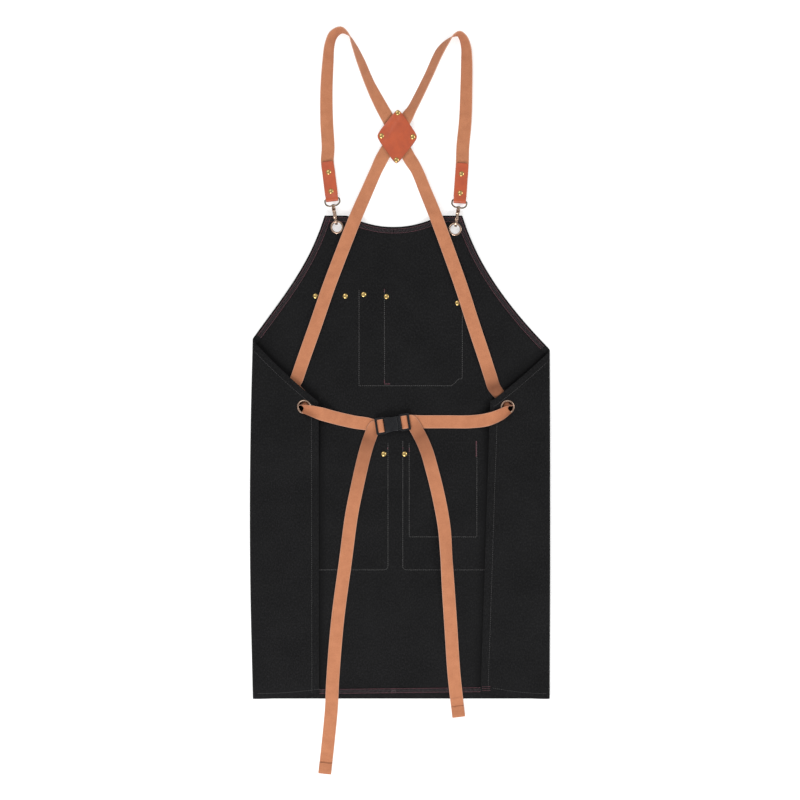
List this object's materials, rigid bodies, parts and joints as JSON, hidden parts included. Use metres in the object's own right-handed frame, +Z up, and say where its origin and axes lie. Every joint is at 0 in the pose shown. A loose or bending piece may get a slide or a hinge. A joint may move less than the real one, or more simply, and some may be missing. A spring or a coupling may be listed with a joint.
{
  "type": "work apron with cross-back straps, laid flat",
  "caption": "Canvas work apron with leather-trimmed cross-back webbing straps, snap hooks, grommets, rivets and a waist buckle, lying back up with folded sides.",
  "frame": {"origin": "middle of the apron's footprint, on the surface that it lies on", "axes": "+X to the right with the back up and the bib away, +Y from the hem to the shoulder straps, +Z up from the surface"},
  "size_m": [0.4722, 1.1754, 0.021],
  "materials": {
    "canvas": "near-black heavy canvas with grey stitching and burgundy overlocked hems",
    "webbing": "tan cotton webbing",
    "leather": "terracotta leather, semi-gloss",
    "brass": "polished brass rivet caps",
    "antique_metal": "antique copper-silver plating",
    "bronze": "dark bronze plated wire",
    "plastic": "black moulded plastic"
  },
  "bodies": {
    "root": {"canvas_body": "canvas", "chest_pocket": "canvas", "left_pocket": "canvas", "right_pocket": "canvas", "phone_pocket": "canvas", "tool_loop": "leather", "chest_rivet_left": "brass", "chest_rivet_middle": "brass", "chest_rivet_right": "brass", "loop_rivet_left": "brass", "loop_rivet_right": "brass", "left_pocket_rivet_inner": "brass", "left_pocket_rivet_outer": "brass", "right_pocket_rivet_inner": "brass", "right_pocket_rivet_outer": "brass", "bib_grommet_left": "antique_metal", "waist_grommet_left": "antique_metal", "bib_grommet_right": "antique_metal", "waist_grommet_right": "antique_metal", "swivel_loop_left": "bronze", "swivel_loop_right": "bronze", "end_tab_left": "leather", "tab_rivet_left_1": "brass", "tab_rivet_left_2": "brass", "end_tab_right": "leather", "tab_rivet_right_1": "brass", "tab_rivet_right_2": "brass", "cross_patch_bottom": "leather", "cross_patch_top": "leather", "patch_rivet_top": "brass", "patch_rivet_right": "brass", "patch_rivet_bottom": "brass", "patch_rivet_left": "brass", "buckle_socket": "plastic", "buckle_plug": "plastic", "shoulder_strap_left": "webbing", "leg_strap_left": "webbing", "waist_strap_left": "webbing", "shoulder_strap_right": "webbing", "leg_strap_right": "webbing", "waist_strap_right": "webbing"},
    "hook_left": {"snap_hook_left": "antique_metal"},
    "gate_left": {"snap_gate_left": "antique_metal"},
    "hook_right": {"snap_hook_right": "antique_metal"},
    "gate_right": {"snap_gate_right": "antique_metal"}
  },
  "joints": [
    {"name": "hook_swivel_left", "type": "hinge", "parent": "root", "child": "hook_left", "pos_m": [-0.10479, 0.30513, 0.00815], "axis": [0.1788, -0.9839, 0], "range_deg": [-6, 6]},
    {"name": "gate_hinge_left", "type": "hinge", "parent": "hook_left", "child": "gate_left", "pos_m": [-0.1035, 0.29804, 0.0143], "axis": [0.9839, 0.1788, 0], "range_deg": [0, 16], "stiffness_Nm_per_rad": 0.02, "springref_deg": -34.38},
    {"name": "hook_swivel_right", "type": "hinge", "parent": "root", "child": "hook_right", "pos_m": [0.09184, 0.30212, 0.00815], "axis": [-0.1616, -0.9869, 0], "range_deg": [-6, 6]},
    {"name": "gate_hinge_right", "type": "hinge", "parent": "hook_right", "child": "gate_right", "pos_m": [0.09067, 0.29502, 0.0143], "axis": [0.9869, -0.1616, 0], "range_deg": [0, 16], "stiffness_Nm_per_rad": 0.02, "springref_deg": -34.38}
  ]
}
